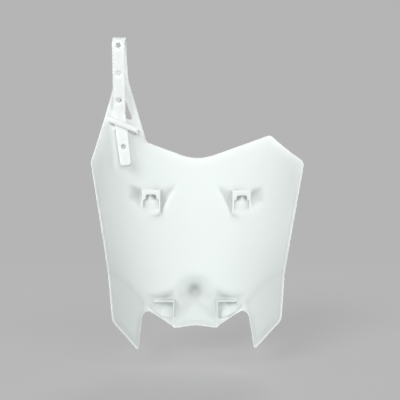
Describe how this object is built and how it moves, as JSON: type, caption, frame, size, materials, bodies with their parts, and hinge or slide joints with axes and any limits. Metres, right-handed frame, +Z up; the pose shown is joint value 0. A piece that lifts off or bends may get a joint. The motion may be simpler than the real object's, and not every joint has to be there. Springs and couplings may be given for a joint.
{
  "type": "front number plate",
  "caption": "Crowned plastic shell for the front of an off-road motorbike, with moulded sockets behind it and a strap that loops over the handlebar.",
  "frame": {"origin": "midway between the two upper sockets, level with their rims and with their roofs", "axes": "+Z up, +Y forwards, the way the bike travels, out of the convex front, and +X the rider's right"},
  "size_m": [0.2238, 0.0685, 0.3295],
  "materials": {
    "plate": "satin, fine moulded grain, lightly scuffed"
  },
  "bodies": {
    "root": {"number_plate": "plate"}
  },
  "joints": []
}
